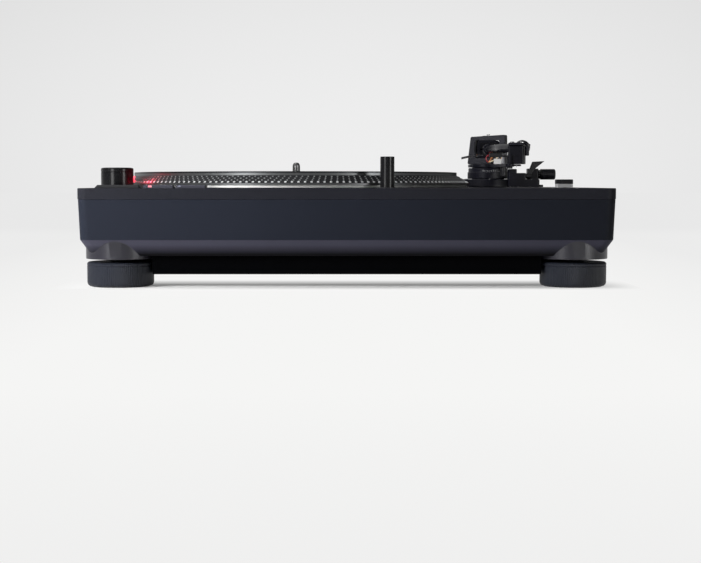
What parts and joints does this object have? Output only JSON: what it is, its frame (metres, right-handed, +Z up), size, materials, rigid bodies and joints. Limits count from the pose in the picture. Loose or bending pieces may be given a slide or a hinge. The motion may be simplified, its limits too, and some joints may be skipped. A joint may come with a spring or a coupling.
{
  "type": "dj turntable",
  "caption": "Black direct-drive DJ turntable with strobe-rim platter, S-shaped tonearm, pitch fader, pop-up target light and round isolating feet.",
  "frame": {"origin": "on the table, under the middle of the body's outline, so at the bottom centre of the bounding box", "axes": "+X to the right with the front towards the viewer, +Y to the rear, +Z up"},
  "size_m": [0.453, 0.353, 0.1384],
  "materials": {
    "deck_paint": "fine satin black paint",
    "body_paint": "satin blue-black paint",
    "base_rubber": "matte black rubber",
    "foot_plastic": "satin black with a rubber sole",
    "platter_aluminium": "dark diecast with bright strobe dots on the bevel",
    "mat_rubber": "ribbed black",
    "bright_steel": "bright turned",
    "magnet_iron": "sintered",
    "cast_aluminium": "plain turned",
    "circuit_board": "green laminate",
    "coil_copper": "enamelled windings",
    "button_plastic": "satin black",
    "lit_lens": "lit red indicator",
    "clear_lens": "clear, unlit",
    "gloss_black": "polished black",
    "strobe_red": "lit red lens",
    "switch_plastic": "moulded black",
    "scale_plate": "black with white scale lines",
    "arm_metal": "satin black metal",
    "arm_paint": "satin black",
    "tube_metal": "black anodised",
    "weight_metal": "black coated",
    "cartridge_plastic": "moulded black",
    "lead_jacket": "thin coloured leads"
  },
  "bodies": {
    "chassis": {"deck_panel": "deck_paint", "cabinet": "body_paint", "rubber_base": "base_rubber", "bearing_housing": "cast_aluminium", "drive_board": "circuit_board", "motor_stator": "coil_copper", "power_supply": "circuit_board", "control_board": "circuit_board", "strobe_housing": "gloss_black", "strobe_lens": "strobe_red", "strobe_lamp": "strobe_red", "power_switch": "switch_plastic", "target_light_guide": "switch_plastic", "pitch_scale_plate": "scale_plate", "pitch_potentiometer": "switch_plastic", "terminal_tray": "arm_metal", "phono_jacks": "bright_steel", "power_inlet": "switch_plastic", "arm_base": "arm_paint"},
    "platter_body": {"platter": "platter_aluminium", "mat": "mat_rubber", "spindle": "bright_steel", "rotor_magnet": "magnet_iron"},
    "start_stop_body": {"start_stop_button": "button_plastic"},
    "speed_33_body": {"speed_33_button": "button_plastic", "indicator_33": "lit_lens"},
    "speed_45_body": {"speed_45_button": "button_plastic", "indicator_45": "clear_lens"},
    "power_knob_body": {"power_knob": "gloss_black"},
    "target_light_body": {"target_light": "gloss_black", "target_light_lens": "clear_lens"},
    "light_button_body": {"target_light_button": "button_plastic"},
    "pitch_body": {"pitch_knob": "button_plastic"},
    "ground_screw_body": {"ground_terminal": "bright_steel"},
    "height_ring_body": {"arm_height_ring": "arm_paint"},
    "arm_carriage": {"arm_bracket": "arm_metal", "gimbal_frame": "arm_metal", "gimbal_pivot_screw": "bright_steel", "lifter_cylinder": "switch_plastic", "armrest_post": "switch_plastic", "arm_leads": "lead_jacket"},
    "gimbal_body": {"gimbal_ring": "arm_metal"},
    "arm_body": {"arm_tube": "tube_metal", "arm_housing": "arm_metal", "counterweight_shaft": "arm_metal", "headshell": "arm_metal", "headshell_leads": "lead_jacket", "cartridge": "cartridge_plastic", "stylus": "cast_aluminium"},
    "headshell_nut_body": {"headshell_nut": "weight_metal"},
    "counterweight_body": {"counterweight": "weight_metal"},
    "force_dial_body": {"force_dial": "button_plastic"},
    "lifter_body": {"lifter_bar": "arm_metal"},
    "armrest_clip_body": {"armrest_clip": "switch_plastic"},
    "cue_lever_body": {"cue_lever": "switch_plastic"},
    "anti_skate_body": {"anti_skate_knob": "button_plastic"},
    "foot_front_left_body": {"foot_front_left": "foot_plastic"},
    "foot_front_right_body": {"foot_front_right": "foot_plastic"},
    "foot_rear_left_body": {"foot_rear_left": "foot_plastic"},
    "foot_rear_right_body": {"foot_rear_right": "foot_plastic"}
  },
  "joints": [
    {"name": "platter_spin", "type": "hinge", "parent": "chassis", "child": "platter_body", "pos_m": [-0.049, 0, 0.08], "axis": [0, 0, 1], "continuous": true},
    {"name": "start_stop_press", "type": "slide", "parent": "chassis", "child": "start_stop_body", "axis": [0, 0, -1], "range_m": [0, 0.0015], "stiffness_N_per_m": 800, "springref_m": -0.001},
    {"name": "speed_33_press", "type": "slide", "parent": "chassis", "child": "speed_33_body", "axis": [0, 0, -1], "range_m": [0, 0.0015], "stiffness_N_per_m": 600, "springref_m": -0.001},
    {"name": "speed_45_press", "type": "slide", "parent": "chassis", "child": "speed_45_body", "axis": [0, 0, -1], "range_m": [0, 0.0015], "stiffness_N_per_m": 600, "springref_m": -0.001},
    {"name": "power_knob_turn", "type": "hinge", "parent": "chassis", "child": "power_knob_body", "pos_m": [-0.2041, -0.1015, 0.1], "axis": [0, 0, 1], "range_deg": [0, 35]},
    {"name": "target_light_rise", "type": "slide", "parent": "chassis", "child": "target_light_body", "axis": [0, 0, -1], "range_m": [0, 0.022], "stiffness_N_per_m": 30, "springref_m": -0.01},
    {"name": "light_button_press", "type": "slide", "parent": "chassis", "child": "light_button_body", "axis": [0, 0, -1], "range_m": [0, 0.0015], "stiffness_N_per_m": 500, "springref_m": -0.001},
    {"name": "pitch_slide", "type": "slide", "parent": "chassis", "child": "pitch_body", "axis": [0, -1, 0], "range_m": [-0.05, 0.05]},
    {"name": "ground_screw_turn", "type": "hinge", "parent": "chassis", "child": "ground_screw_body", "pos_m": [0.091, 0.1661, 0.059], "axis": [0, 1, 0], "range_deg": [0, 720]},
    {"name": "arm_height_rise", "type": "slide", "parent": "chassis", "child": "arm_carriage", "axis": [0, 0, 1], "range_m": [0, 0.006]},
    {"name": "arm_height_turn", "type": "hinge", "parent": "chassis", "child": "height_ring_body", "pos_m": [0.145, 0.0927, 0.098], "axis": [0, 0, 1], "range_deg": [0, 300]},
    {"name": "arm_swing", "type": "hinge", "parent": "arm_carriage", "child": "gimbal_body", "pos_m": [0.145, 0.0927, 0.123], "axis": [0, 0, -1], "range_deg": [0, 52]},
    {"name": "arm_tilt", "type": "hinge", "parent": "gimbal_body", "child": "arm_body", "pos_m": [0.145, 0.0927, 0.123], "axis": [-1, 0, 0], "range_deg": [0, 12]},
    {"name": "headshell_nut_turn", "type": "hinge", "parent": "arm_body", "child": "headshell_nut_body", "pos_m": [0.1575, -0.0891, 0.12], "axis": [-0.225, -0.9744, 0], "range_deg": [0, 90]},
    {"name": "counterweight_turn", "type": "hinge", "parent": "arm_body", "child": "counterweight_body", "pos_m": [0.145, 0.1327, 0.123], "axis": [0, 1, 0], "range_deg": [-720, 720]},
    {"name": "force_dial_turn", "type": "hinge", "parent": "arm_body", "child": "force_dial_body", "pos_m": [0.145, 0.121, 0.123], "axis": [0, 1, 0], "continuous": true},
    {"name": "cue_lever_tilt", "type": "hinge", "parent": "chassis", "child": "cue_lever_body", "pos_m": [0.1835, 0.0717, 0.0954], "axis": [1, 0, 0], "range_deg": [0, 70]},
    {"name": "lifter_fall", "type": "slide", "parent": "arm_carriage", "child": "lifter_body", "axis": [0, 0, -1], "range_m": [0, 0.005]},
    {"name": "armrest_clip_swing", "type": "hinge", "parent": "arm_carriage", "child": "armrest_clip_body", "pos_m": [0.1548, 0.0317, 0.12199], "axis": [0, -1, 0], "range_deg": [0, 180]},
    {"name": "anti_skate_turn", "type": "hinge", "parent": "chassis", "child": "anti_skate_body", "pos_m": [0.2, 0.0835, 0.0972], "axis": [1, 0, 0], "range_deg": [0, 270]},
    {"name": "foot_front_left_turn", "type": "hinge", "parent": "chassis", "child": "foot_front_left_body", "pos_m": [-0.1947, -0.1447, 0.01], "axis": [0, 0, 1], "range_deg": [-360, 360]},
    {"name": "foot_front_right_turn", "type": "hinge", "parent": "chassis", "child": "foot_front_right_body", "pos_m": [0.1947, -0.1447, 0.01], "axis": [0, 0, 1], "range_deg": [-360, 360]},
    {"name": "foot_rear_left_turn", "type": "hinge", "parent": "chassis", "child": "foot_rear_left_body", "pos_m": [-0.1947, 0.1447, 0.01], "axis": [0, 0, 1], "range_deg": [-360, 360]},
    {"name": "foot_rear_right_turn", "type": "hinge", "parent": "chassis", "child": "foot_rear_right_body", "pos_m": [0.1947, 0.1447, 0.01], "axis": [0, 0, 1], "range_deg": [-360, 360]}
  ],
  "couplings": [
    {"joint": "arm_height_turn", "follows": "arm_height_rise", "rad_per_m": 872.6},
    {"joint": "cue_lever_tilt", "follows": "lifter_fall", "rad_per_m": 244.3}
  ]
}
